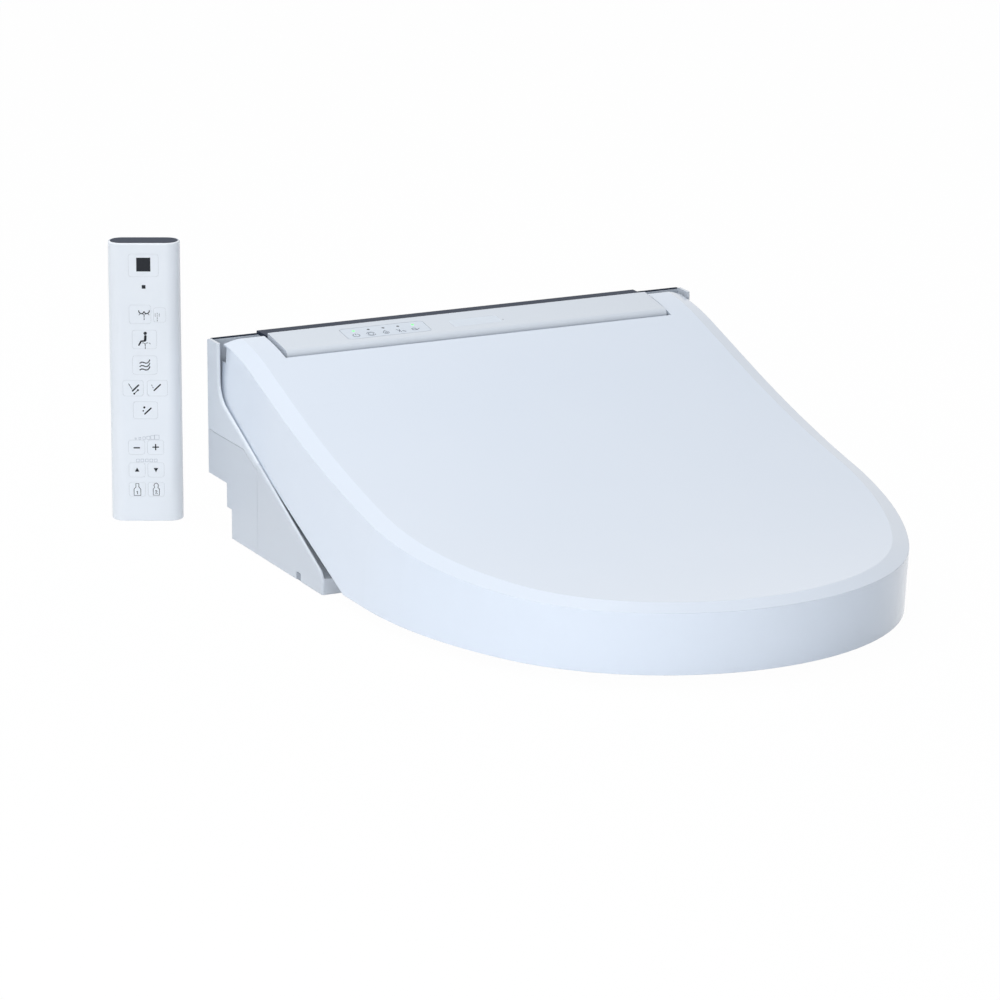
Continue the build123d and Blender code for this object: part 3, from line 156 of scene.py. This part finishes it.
plasticLooks = {
    "white_plastic": dict(
        colour=tone(228, 236, 247), shade=tone(224, 233, 245), ior=1.48, flowScale=7.0, skinScale=900.0,
        rough=0.2, roughSpread=0.05, skinDepth=0.00004, skinStrength=0.12, edge=0.0006, coat=0.2),
    "base_plastic": dict(
        colour=tone(210, 216, 224), shade=tone(205, 212, 221), ior=1.47, flowScale=9.0, skinScale=1400.0,
        rough=0.32, roughSpread=0.08, skinDepth=0.00005, skinStrength=0.2, edge=0.0006),
    "key_plastic": dict(
        colour=tone(241, 245, 250), shade=tone(237, 242, 248), ior=1.47, flowScale=30.0, skinScale=1600.0,
        rough=0.26, roughSpread=0.06, skinDepth=0.00003, skinStrength=0.12, edge=0.00004, coat=0.1),
    # dark_trim: the remote's dark window cap has this colour for real; the strip along the deck's rear edge
    # carries it as painted shade and reflection, standing in for that edge in shadow
    "dark_trim": dict(
        colour=tone(50, 58, 74), shade=tone(42, 50, 66), ior=1.3, flowScale=14.0, skinScale=1200.0,
        rough=0.42, roughSpread=0.08, skinDepth=0.00003, skinStrength=0.15, edge=0.0003, shine=0.08),
    "inner_plastic": dict(
        colour=tone(202, 205, 208), shade=tone(188, 191, 195), ior=1.47, flowScale=18.0, skinScale=1100.0,
        rough=0.5, roughSpread=0.12, skinDepth=0.00006, skinStrength=0.3, edge=0.0004),
    "heater_plastic": dict(
        colour=tone(176, 168, 150), shade=tone(160, 152, 134), ior=1.47, flowScale=20.0, skinScale=900.0,
        rough=0.55, roughSpread=0.12, skinDepth=0.00006, skinStrength=0.3, edge=0.0005),
    "grey_plastic": dict(
        colour=tone(150, 158, 170), shade=tone(136, 145, 158), ior=1.47, flowScale=60.0, skinScale=1800.0,
        rough=0.4, roughSpread=0.1, skinDepth=0.00004, skinStrength=0.25, edge=0.0003),
    "remote_shell": dict(
        colour=tone(241, 245, 250), shade=tone(237, 242, 248), ior=1.47, flowScale=30.0, skinScale=1600.0,
        rough=0.26, roughSpread=0.06, skinDepth=0.00003, skinStrength=0.12, edge=0.00004, coat=0.1),
    # the housing is the same white plastic as the lid; its colour is set darker as painted shade for the cheeks
    # and the deck
    "housing_painted_shade": dict(
        colour=tone(220, 227, 235), shade=tone(215, 222, 231), ior=1.48, flowScale=8.0, skinScale=1000.0,
        rough=0.24, roughSpread=0.06, skinDepth=0.00004, skinStrength=0.15, edge=0.0005, coat=0.1),
    "wand_plastic": dict(
        colour=tone(232, 235, 238), shade=tone(226, 230, 234), ior=1.48, flowScale=25.0, skinScale=1600.0,
        rough=0.22, roughSpread=0.05, skinDepth=0.00003, skinStrength=0.12, edge=0.0003, coat=0.15),
}
finishes = {name: mouldedPlastic(name + "_finish", look) for name, look in plasticLooks.items()}
print("plastics:", len(finishes))

rubberBase = dict(ior=1.5, shine=0.35, depth=0.00008, strength=0.45, edge=0.0005, rough=0.62, roughSpread=0.2)


def rubberFinish(name, look):
    # a matt rubber with fine grain and a dusty bloom
    fixed = {"IOR": rubberBase["ior"], "Specular IOR Level": rubberBase["shine"]}
    material, wire, shader = startFinish(name, fixed)
    where = place(wire)
    grain = noise(wire, where, look["grain"], detail=5.0, rough=0.65)
    dust = noise(wire, where, look["bloom"], detail=2.0)
    colour = dust.mix(look["shade"], look["colour"])
    rough = rubberBase["rough"] + rubberBase["roughSpread"] * grain
    normal = bump(wire, grain, rubberBase["depth"], rubberBase["strength"], softEdge(wire, rubberBase["edge"]))
    return feed(material, shader, colour=colour, rough=rough, normal=normal)


rubberLooks = {
    "pad_rubber": dict(colour=tone(214, 218, 222), shade=tone(196, 201, 206), grain=1500.0, bloom=60.0),
    "hose_rubber": dict(colour=tone(84, 88, 94), shade=tone(66, 70, 76), grain=1300.0, bloom=70.0),
}
for slotName, look in rubberLooks.items():
    finishes[slotName] = rubberFinish(slotName + "_finish", look)

metalBase = dict(depth=0.00003, strength=0.25, edge=0.0003)


def metalFinish(name, look):
    # drawn or turned metal: fine streaks along one way, dull spots
    material, wire, shader = startFinish(name, {"Metallic": 1.0})
    where = place(wire)
    stretched = wire.node("ShaderNodeMapping", {}, {"Vector": where, "Scale": look["stretch"]})
    streak = noise(wire, stretched, look["streakScale"])
    spot = noise(wire, where, look["spotScale"])
    normal = bump(wire, streak, metalBase["depth"], metalBase["strength"], softEdge(wire, metalBase["edge"]))
    colour = spot.mix(look["shade"], look["colour"])
    rough = look["rough"] + look["roughSpread"] * spot
    return feed(material, shader, colour=colour, rough=rough, normal=normal)


metalLooks = {
    "steel": dict(
        colour=tone(196, 198, 202), shade=tone(174, 177, 182), stretch=(1.0, 14.0, 14.0), streakScale=160.0,
        spotScale=120.0, rough=0.24, roughSpread=0.18),
    "motor_metal": dict(
        colour=tone(178, 181, 186), shade=tone(150, 154, 160), stretch=(1.0, 10.0, 10.0), streakScale=200.0,
        spotScale=90.0, rough=0.3, roughSpread=0.2),
    "inlet_brass": dict(
        colour=tone(202, 198, 186), shade=tone(182, 176, 160), stretch=(12.0, 12.0, 1.0), streakScale=180.0,
        spotScale=140.0, rough=0.26, roughSpread=0.16),
    "foil": dict(
        colour=tone(206, 208, 211), shade=tone(184, 187, 191), stretch=(6.0, 1.0, 1.0), streakScale=220.0,
        spotScale=80.0, rough=0.3, roughSpread=0.2),
}
for slotName, look in metalLooks.items():
    finishes[slotName] = metalFinish(slotName + "_finish", look)

boardLook = dict(
    resist=tone(34, 92, 58), resistDark=tone(28, 80, 50), track=tone(66, 126, 82), trackScale=180.0, gap=0.06,
    ior=1.5, grain=900.0, depth=0.00003, strength=0.2, rough=0.35, roughSpread=0.15)


def boardFinish(look):
    # solder resist over copper tracks, drawn by a brick pattern
    material, wire, shader = startFinish("circuit_board_finish", {"IOR": look["ior"]})
    where = place(wire)
    pattern = {"Vector": where, "Scale": look["trackScale"], "Mortar Size": look["gap"],
               "Color1": look["resist"], "Color2": look["resistDark"], "Mortar": look["track"]}
    tracks = wire.node("ShaderNodeTexBrick", {}, pattern)
    grain = noise(wire, where, look["grain"], detail=2.0)
    rough = look["rough"] + look["roughSpread"] * grain
    normal = bump(wire, grain, look["depth"], look["strength"])
    return feed(material, shader, colour=tracks, rough=rough, normal=normal)


finishes["circuit_board"] = boardFinish(boardLook)

panelLook = dict(
    colour=tone(217, 226, 236), shade=tone(212, 221, 232), ior=1.49, coatRough=0.2, grain=1800.0, cloud=40.0,
    depth=0.00002, strength=0.2, edge=0.0003, rough=0.3, roughSpread=0.1, coat=0.15, coatSpread=0.1)


def panelFinish(look):
    # a printed film behind a clear satin face
    fixed = {"IOR": look["ior"], "Coat Roughness": look["coatRough"]}
    material, wire, shader = startFinish("panel_film_finish", fixed)
    where = place(wire)
    weave = noise(wire, where, look["grain"], detail=4.0)
    cloud = noise(wire, where, look["cloud"], detail=2.0)
    colour = cloud.mix(look["shade"], look["colour"])
    rough = look["rough"] + look["roughSpread"] * weave
    coat = look["coat"] + look["coatSpread"] * cloud
    normal = bump(wire, weave, look["depth"], look["strength"], softEdge(wire, look["edge"]))
    return feed(material, shader, colour=colour, rough=rough, coat=coat, normal=normal)


finishes["panel_film"] = panelFinish(panelLook)

lampLook = dict(
    firstX=-0.0919, pitch=0.01195, lit=(0, 4), reach=0.003, green=tone(120, 255, 130), glow=tone(70, 235, 90),
    dark=tone(66, 72, 82), off=(0.0, 0.0, 0.0, 1.0), shine=0.9, ior=1.5, grain=2600.0, depth=0.00002, strength=0.2,
    rough=0.2, roughSpread=0.1)


def lampFinish(look):
    # two of the lamps are lit, told apart by their place along the deck
    fixed = {"IOR": look["ior"], "Emission Strength": look["shine"]}
    material, wire, shader = startFinish("lamp_lens_finish", fixed)
    where = place(wire)
    along = wire.node("ShaderNodeSeparateXYZ", {}, {"Vector": where}, out="X")
    lit = 0.0
    for index in look["lit"]:
        lit = lit + (abs(along - (look["firstX"] + index * look["pitch"])) < look["reach"])
    grain = noise(wire, where, look["grain"], detail=2.0)
    colour = lit.mix(look["dark"], look["green"])
    glow = lit.mix(look["off"], look["glow"])
    rough = look["rough"] + look["roughSpread"] * grain
    normal = bump(wire, grain, look["depth"], look["strength"])
    return feed(material, shader, colour=colour, glow=glow, rough=rough, normal=normal)


finishes["lamp_lens"] = lampFinish(lampLook)

inkBase = dict(ior=1.45, shine=0.3, patch=700.0, depth=0.00002, strength=0.3, rough=0.5, roughSpread=0.15)


def inkFinish(name, colour, shade):
    # screen print: a matt film with a slightly patchy body
    fixed = {"IOR": inkBase["ior"], "Specular IOR Level": inkBase["shine"]}
    material, wire, shader = startFinish(name, fixed)
    patch = noise(wire, place(wire), inkBase["patch"])
    rough = inkBase["rough"] + inkBase["roughSpread"] * patch
    normal = bump(wire, patch, inkBase["depth"], inkBase["strength"])
    return feed(material, shader, colour=patch.mix(shade, colour), rough=rough, normal=normal)


inkLooks = {
    "dark_ink": dict(colour=tone(24, 28, 34), shade=tone(30, 34, 42)),
    "pale_ink": dict(colour=tone(160, 168, 180), shade=tone(150, 158, 172)),
    "mid_ink": dict(colour=tone(88, 98, 114), shade=tone(78, 88, 104)),
    "label_film": dict(colour=tone(226, 233, 241), shade=tone(222, 230, 239)),
}
inks = {name: inkFinish(name, **look) for name, look in inkLooks.items()}
print("finishes:", len(finishes) + len(inks))

# pieces that differ from the rest of their slot
ownFinish = {
    "remote_front": "remote_shell",
    # the top cover takes the darker white that is painted shade
    "top_cover": "housing_painted_shade",
    "side_cover_left": "base_plastic",
    "side_cover_right": "base_plastic",
}
for name, thing in nodes.items():
    slotName = thing.material_slots[0].material.name.split(".")[0]
    thing.material_slots[0].material = finishes[ownFinish.get(name, slotName)]
print("nodes dressed:", len(nodes))


# flat printed marks, each a thin closed film on the face that carries it
class Face:
    def __init__(self, origin, right, up):
        self.origin = Vector(origin)
        self.right = Vector(right).normalized()
        self.up = Vector(up).normalized()
        self.out = self.right.cross(self.up)

    def at(self, u, v, lift):
        return self.origin + self.right * (u * mm) + self.up * (v * mm) + self.out * (lift * mm)


filmLook = dict(low=0.01, high=0.05, caps=(80, 50, 25))  # heights in mm, and the steps round a line's end


def addStrip(shape, face, points, width, closed=False, high=filmLook["high"]):
    # a line of even width with rounded ends
    half = width / 2
    flat = [Vector((u, v)) for u, v in points]
    ways = []
    for i, spot in enumerate(flat):
        before = flat[i - 1] if i > 0 or closed else spot
        after = flat[(i + 1) % len(flat)] if i < len(flat) - 1 or closed else spot
        ways.append((after - before).normalized())
    rows = [(spot, way, half) for spot, way in zip(flat, ways)]
    if not closed:
        caps = [(sin(radians(angle)), cos(radians(angle))) for angle in filmLook["caps"]]
        start = [(flat[0] - ways[0] * half * a, ways[0], half * b) for a, b in caps]
        end = [(flat[-1] + ways[-1] * half * a, ways[-1], half * b) for a, b in reversed(caps)]
        rows = start + rows + end
    rings = []
    for spot, way, reach in rows:
        side = Vector((-way.y, way.x)) * reach
        left, right = spot + side, spot - side
        corners = ((left, high), (right, high), (right, filmLook["low"]), (left, filmLook["low"]))
        rings.append([shape.verts.new(face.at(spot.x, spot.y, lift)) for spot, lift in corners])
    last = len(rings) if closed else len(rings) - 1
    for i in range(last):
        a, b = rings[i], rings[(i + 1) % len(rings)]
        for j in range(len(a)):
            k = (j + 1) % len(a)
            shape.faces.new((a[j], b[j], b[k], a[k]))
    if not closed:
        shape.faces.new(rings[0])
        shape.faces.new(list(reversed(rings[-1])))


def addFill(shape, face, points):
    # a filled outline
    top = [shape.verts.new(face.at(u, v, filmLook["high"])) for u, v in points]
    low = [shape.verts.new(face.at(u, v, filmLook["low"])) for u, v in points]
    shape.faces.new(top)
    shape.faces.new(list(reversed(low)))
    for i in range(len(points)):
        j = (i + 1) % len(points)
        shape.faces.new((top[i], low[i], low[j], top[j]))


def arc(u, v, radius, start, end, count=12, squash=1.0):
    turn = [radians(start + (end - start) * i / count) for i in range(count + 1)]
    return [(u + radius * cos(a), v + radius * squash * sin(a)) for a in turn]


def disc(u, v, radius, count=20):
    return arc(u, v, radius, 0, 360, count)[:-1]


def square(u, v, size):
    half = size / 2
    return [(u - half, v - half), (u + half, v - half), (u + half, v + half), (u - half, v + half)]


def addObject(name, shape, material):
    # the finished shape as an object in the scene
    mesh = bpy.data.meshes.new(name)
    shape.to_mesh(mesh)
    shape.free()
    mesh.materials.append(material)
    thing = bpy.data.objects.new(name, mesh)
    bpy.context.scene.collection.objects.link(thing)
    return thing


def addPiece(name, shape, material, body):
    # a closed shape that rides on a body
    bmesh.ops.recalc_face_normals(shape, faces=shape.faces)
    piece = addObject(name, shape, material)
    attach(piece, body)


def printMark(name, body, face, ink, slotName, fills=(), lines=(), loops=(), high=filmLook["high"]):
    shape = bmesh.new()
    for points in fills:
        addFill(shape, face, points)
    for points, width in lines:
        addStrip(shape, face, points, width, high=high)
    for points, width in loops:
        addStrip(shape, face, points, width, closed=True, high=high)
    addPiece(name, shape, ink, body)


remoteLook = dict(x=-228.4, y=100.6, turn=25.16, thick=22.0)
turned = radians(remoteLook["turn"])
remoteSpot = Vector((remoteLook["x"], remoteLook["y"], 0))
remoteOut = Vector((-sin(turned), -cos(turned), 0)) * (remoteLook["thick"] / 2)
keyFace = Face((remoteSpot + remoteOut) * mm, (cos(turned), -sin(turned), 0), (0, 0, 1))
doorFace = Face((remoteSpot - remoteOut) * mm, (-cos(turned), sin(turned), 0), (0, 0, 1))


def shifted(points, u, v):
    return [(a + u, b + v) for a, b in points]


def spray(u, v):
    # a fountain: a stem of dots that parts into two dashed curls
    stem = [([(u, v - 3.4), (u, v - 2.5)], 0.55), ([(u, v - 1.6), (u, v - 0.9)], 0.55)]
    curls = []
    for side in (-1, 1):
        curls.append((shifted(arc(side * 1.7, -0.7, 1.7, 90 + side * 80, 90 - side * 10, 8), u, v), 0.42))
        curls.append((shifted(arc(side * 2.2, -0.8, 1.8, 90 - side * 25, 90 - side * 60, 5), u, v), 0.4))
    return stem + curls


# each key's symbol, in mm across and up the remote's face: outlines, and lines with their widths
softDots = ((0, -3.4), (0, -2.0), (0, -0.6), (0, 0.8), (0, 2.2), (-1.5, 0.2), (1.5, 0.2), (-1.5, 1.6), (1.5, 1.6))
breeze = [(-3.6, 0), (-2.4, 0.75), (-1.0, 0.55), (0.6, -0.1), (2.0, 0.1), (3.1, 1.2), (3.6, 2.4)]
bottle = [(-2.5, -4.6), (2.5, -4.6), (2.5, 0.2), (1.1, 2.0), (1.1, 4.6), (-1.1, 4.6), (-1.1, 2.0), (-2.5, 0.2)]
figure = [(-2.3, -4.4), (2.3, -4.4), (2.3, 0.4), (1.2, 1.5), (1.7, 3.1), (1.1, 4.4), (0, 4.9), (-1.1, 4.4),
          (-1.7, 3.1), (-1.2, 1.5), (-2.3, 0.4)]
remoteMarks = {
    "stop": dict(fills=[square(0, 195.6, 10.4)]),
    "rear_wash": dict(
        lines=[(arc(-1.9, 160.6, 2.0, 175, 345, 14), 0.75), (arc(1.9, 160.6, 2.0, 195, 365, 14), 0.75)]
        + spray(0, 157.4)),
    "soft_wash": dict(fills=[disc(9.7 + u, 156.6 + v, 0.34, 10) for u, v in softDots]),
    "front_wash": dict(
        fills=[disc(0.6, 143.6, 1.25)],
        lines=[([(0.7, 141.4), (0.5, 138.4)], 1.9), ([(0.4, 137.9), (-2.6, 137.6)], 1.2),
               ([(-2.6, 137.6), (-4.2, 134.6)], 1.1)] + spray(0.5, 135.4)),
    "dryer": dict(lines=[(shifted(breeze, 0, z), 0.8) for z in (121.0, 118.4, 115.8)]),
    "oscillate": dict(
        lines=[([(-9.4, 99.8), (-4.9, 104.2)], 1.15), ([(-8.0, 97.9), (-5.6, 100.2)], 0.55),
               ([(-9.7, 101.0), (-12.2, 105.2)], 0.5)],
        fills=[disc(-8.2, 97.7, 0.75, 12), disc(-5.4, 100.4, 0.75, 12)]),
    "pulsate": dict(
        lines=[([(6.6, 100.2), (11.2, 104.6)], 1.05), ([(5.9, 102.0), (5.5, 102.8)], 0.42),
               ([(5.1, 103.6), (4.7, 104.4)], 0.42)]),
    "wand_clean": dict(
        lines=[([(-0.6, 82.2), (4.0, 86.6)], 1.1)],
        fills=[disc(-0.9, 87.2, 0.85, 12), disc(-1.7, 84.6, 0.6, 12)]),
    "minus": dict(lines=[([(-9.0, 56.3), (-5.0, 56.3)], 1.0)]),
    "plus": dict(lines=[([(5.0, 56.8), (9.0, 56.8)], 0.95), ([(7.0, 54.8), (7.0, 58.8)], 0.95)]),
    "forward": dict(fills=[[(-8.7, 38.0), (-5.3, 38.0), (-7.0, 41.2)]]),
    "back": dict(fills=[[(5.3, 40.8), (7.0, 37.6), (8.7, 40.8)]]),
    "user_one": dict(
        loops=[(shifted(bottle, -7.0, 24.3), 0.5)],
        lines=[([(-7.5, 22.6), (-7.0, 23.1), (-7.0, 20.9)], 0.5)]),
    "user_two": dict(
        loops=[(shifted(figure, 7.0, 24.3), 0.5)],
        lines=[([(6.2, 23.0), (6.6, 23.5), (7.3, 23.4), (7.6, 22.8), (6.3, 21.2), (7.8, 21.2)], 0.48)]),
}
for mark, shapes in remoteMarks.items():
    printMark("mark_" + mark, "key_" + mark, keyFace, inks["dark_ink"], "dark_trim", **shapes)

# two rows of small level boxes and the sender's window, on the remote's own face
levelLook = dict(count=6, firstX=-7.7, pitch=3.15, z=62.8, size=1.0, growth=0.45, line=0.28)
stepLook = dict(count=5, firstX=-6.3, pitch=3.3, z=46.6, size=2.1, line=0.28)
windowLook = dict(z=178.8, size=2.8)
boxes = []
for i in range(levelLook["count"]):
    size = levelLook["size"] + levelLook["growth"] * i
    box = square(levelLook["firstX"] + levelLook["pitch"] * i, levelLook["z"] + size / 2, size)
    boxes.append((box, levelLook["line"]))
for i in range(stepLook["count"]):
    box = square(stepLook["firstX"] + stepLook["pitch"] * i, stepLook["z"], stepLook["size"])
    boxes.append((box, stepLook["line"]))
printMark("mark_levels", "remote", keyFace, inks["pale_ink"], "panel_film", loops=boxes)
window = square(0, windowLook["z"], windowLook["size"])
printMark("mark_window", "remote", keyFace, inks["dark_ink"], "dark_trim", fills=[window])
print("remote marks:", len(remoteMarks) + 2)

deckLook = dict(
    frontY=5.0, frontZ=140.5, rearY=42.0, rearZ=146.5, panelX=-68.0, panelY=24.3, pitch=11.95, down=3.8, left=1.2)
deckSlope = atan2(deckLook["rearZ"] - deckLook["frontZ"], deckLook["rearY"] - deckLook["frontY"])
deckFace = Face(
    (0, deckLook["frontY"] * mm, deckLook["frontZ"] * mm), (1, 0, 0), (0, cos(deckSlope), sin(deckSlope)))


def deckUp(y):
    # how far up the sloping deck a place lies
    return (y - deckLook["frontY"]) / cos(deckSlope)


# under the five lamps: power, seat, drop, wand and leaf, as lines about their middle
deckSigns = [
    [(arc(0, 0, 2.6, 120, 420, 20), 0.5), ([(0, 0.6), (0, 3.0)], 0.5)],
    [(arc(0, 0, 1.9, 0, 340, 18, 1.15), 0.45), (arc(0, 0, 3.3, 200, 340), 0.42), (arc(0, 0, 3.3, 20, 160), 0.42)],
    [([(0, 3.2), (1.3, 1.2)] + arc(0, -0.4, 2.2, 40, -220, 16) + [(-1.3, 1.2), (0, 3.2)], 0.45),
     (arc(0, -0.6, 0.9, 0, 330, 10), 0.4)],
    [([(-2.6, 2.6), (-0.4, -0.6), (-0.4, -2.4)], 0.55), ([(-2.0, -2.0), (0.0, 2.2)], 0.45),
     ([(1.4, -0.6), (3.0, -2.4)], 0.9)],
    [(arc(-0.9, 0.2, 1.9, 20, 340, 16), 0.45), ([(0.6, -1.6), (3.4, 0.6)], 0.5), ([(-2.4, 0.2), (0.6, 0.2)], 0.4)],
]
middle = len(deckSigns) // 2
for i, sign in enumerate(deckSigns):
    u = deckLook["panelX"] + deckLook["pitch"] * (i - middle) - deckLook["left"]
    v = deckUp(deckLook["panelY"]) - deckLook["down"]
    lines = [(shifted(points, u, v), width) for points, width in sign]
    printMark("sign_%d" % (i + 1), "base", deckFace, inks["mid_ink"], "panel_film", lines=lines)


def roundedBlock(u, v, w, d, corner):
    # an outline with rounded corners
    points = []
    for a, b, start in ((1, 1, 0), (-1, 1, 90), (-1, -1, 180), (1, -1, 270)):
        points += arc(u + a * (w / 2 - corner), v + b * (d / 2 - corner), corner, start, start + 90, 5)
    return points


labelLook = dict(x=4.5, y=22.7, w=39.0, d=12.5, corner=1.5, dotX=26.2, dotY=20.5, dotR=0.45)
plate = roundedBlock(labelLook["x"], deckUp(labelLook["y"]), labelLook["w"], labelLook["d"], labelLook["corner"])
printMark("label_plate", "base", deckFace, inks["label_film"], "panel_film", fills=[plate])
dot = disc(labelLook["dotX"], deckUp(labelLook["dotY"]), labelLook["dotR"], 12)
printMark("deck_dot", "base", deckFace, inks["mid_ink"], "panel_film", fills=[dot])
print("deck signs:", len(deckSigns), "with a bare label plate and a dot")

# spray plate on the wand, bent round it, with its holes
nozzleLook = dict(
    tipY=-100.0, tipZ=6.2, radius=6.5, tilt=25.0, start=4.0, end=24.0, halfAngle=30.0, lift=0.25,
    rows=16, columns=8, bluntness=6, leastWidth=0.08, holeR=0.5,
    holes=((7.0, 0.0), (9.2, -1.1), (9.2, 1.1), (14.5, 0.0), (19.5, -1.3), (19.5, 1.3)))


def sprayPlate(look):
    slope = radians(look["tilt"])
    back = Vector((0, cos(slope), sin(slope)))
    out = Vector((0, -sin(slope), cos(slope)))
    tip = Vector((0, look["tipY"], look["tipZ"]))
    middle, half = (look["start"] + look["end"]) / 2, (look["end"] - look["start"]) / 2
    shape = bmesh.new()
    rings = []
    for i in range(look["rows"] + 1):
        along = -cos(pi * i / look["rows"])
        width = max(look["leastWidth"], (1 - along ** look["bluntness"]) ** 0.5)
        reach = radians(look["halfAngle"]) * width
        turns = [reach * (2 * j / look["columns"] - 1) for j in range(look["columns"] + 1)]
        spine = tip + back * (middle + half * along)
        ring = []
        for radius, order in ((look["radius"] + look["lift"], turns), (look["radius"], turns[::-1])):
            for turn in order:
                side = Vector((sin(turn), 0, 0)) + out * cos(turn)
                ring.append(shape.verts.new((spine + side * radius) * mm))
        rings.append(ring)
    for a, b in zip(rings, rings[1:]):
        for j in range(len(a)):
            k = (j + 1) % len(a)
            shape.faces.new((a[j], a[k], b[k], b[j]))
    shape.faces.new(list(reversed(rings[0])))
    shape.faces.new(rings[-1])
    addPiece("spray_plate", shape, finishes["inner_plastic"], "wand")
    face = Face((tip + out * (look["radius"] + look["lift"])) * mm, (1, 0, 0), back)
    holes = [disc(u, v, look["holeR"], 12) for v, u in look["holes"]]
    printMark("spray_holes", "wand", face, inks["dark_ink"], "dark_trim", fills=holes)


sprayPlate(nozzleLook)

# thumb ridges and an arrow on the battery door
doorLook = dict(
    top=66.0, pitch=2.2, count=5, half=7.0, width=0.9, high=0.3, arrowZ=50.0, arrowHalf=3.0, arrowDrop=4.0)
ridges = []
for i in range(doorLook["count"]):
    z = doorLook["top"] - doorLook["pitch"] * i
    ridges.append(([(-doorLook["half"], z), (doorLook["half"], z)], doorLook["width"]))
arrowTip = (0.0, doorLook["arrowZ"] - doorLook["arrowDrop"])
arrow = [(-doorLook["arrowHalf"], doorLook["arrowZ"]), arrowTip, (doorLook["arrowHalf"], doorLook["arrowZ"])]
for name, lines in (("door_ridges", ridges), ("door_arrow", [(arrow, doorLook["width"])])):
    printMark(name, "battery_door", doorFace, finishes["remote_shell"], "white_plastic", lines=lines,
              high=doorLook["high"])
print("wand and door details")

# stage: floor, world, lamps, camera
stageLook = dict(
    floor=tone(244, 246, 248), floorHalf=12.0, floorDrop=0.0006, ambient=(0.36, 0.375, 0.395, 1.0),
    white=(1.0, 1.0, 1.0, 1.0), cameraShare=0.985)


def seenRays(wire):
    # 1 for what the camera sees, straight, in a gloss or through a clear piece
    path = wire.node("ShaderNodeLightPath", out="Is Camera Ray")
    rays = path.socket.node.outputs
    glossy = Wire(wire.tree, rays["Is Glossy Ray"])
    through = Wire(wire.tree, rays["Is Transmission Ray"])
    return (path + glossy + through).clamped()


def makeFloor(look):
    material = bpy.data.materials.new("floor_paint")
    material.use_nodes = True
    tree = material.node_tree
    tree.nodes.clear()
    wire = Wire(tree)
    paint = wire.node("ShaderNodeBsdfDiffuse", {}, {"Color": look["floor"]})
    white = wire.node("ShaderNodeEmission", {}, {"Color": look["white"], "Strength": 1.0})
    seen = seenRays(wire) * look["cameraShare"]
    both = wire.node("ShaderNodeMixShader", {}, {0: seen, 1: paint, 2: white})
    output = tree.nodes.new("ShaderNodeOutputMaterial")
    tree.links.new(both.socket, output.inputs["Surface"])
    shape = bmesh.new()
    bmesh.ops.create_grid(shape, x_segments=4, y_segments=4, size=look["floorHalf"])
    floor = addObject("floor", shape, material)
    floor.location.z = -look["floorDrop"]


def makeWorld(look):
    world = bpy.data.worlds.new("studio")
    bpy.context.scene.world = world
    world.use_nodes = True
    tree = world.node_tree
    colour = seenRays(Wire(tree)).mix(look["ambient"], look["white"])
    tree.links.new(colour.socket, tree.nodes["Background"].inputs["Color"])


def softLamp(name, spot, target, size, power):
    lamp = bpy.data.lights.new(name, "AREA")
    lamp.shape = "RECTANGLE"
    lamp.size, lamp.size_y = size
    lamp.energy = power
    holder = bpy.data.objects.new(name, lamp)
    holder.location = spot
    holder.rotation_euler = (Vector(target) - Vector(spot)).to_track_quat("-Z", "Y").to_euler()
    holder.visible_camera = False
    bpy.context.scene.collection.objects.link(holder)


makeFloor(stageLook)
makeWorld(stageLook)
lampPlan = {
    "front_box": dict(spot=(-0.95, -1.3, 0.4), target=(-0.08, -0.35, 0.05), size=(0.7, 0.5), power=6.8),
    "top_box": dict(spot=(-0.6, 0.2, 1.9), target=(0.0, 0.0, 0.05), size=(1.4, 1.4), power=21.0),
}
for name, plan in lampPlan.items():
    softLamp(name, **plan)

cameraLook = dict(
    place=(-1.82418, -3.91405, 1.19109), azimuth=25.1582, elevation=15.2781, lens=216.0, sensor=36.0)
camera = bpy.data.objects.new("camera", bpy.data.cameras.new("camera"))
camera.data.lens = cameraLook["lens"]
camera.data.sensor_width = cameraLook["sensor"]
camera.location = cameraLook["place"]
camera.rotation_euler = (radians(90 - cameraLook["elevation"]), 0, -radians(cameraLook["azimuth"]))
bpy.context.scene.collection.objects.link(camera)
bpy.context.scene.camera = camera
bpy.context.scene.view_settings.view_transform = "Standard"
print("stage set")
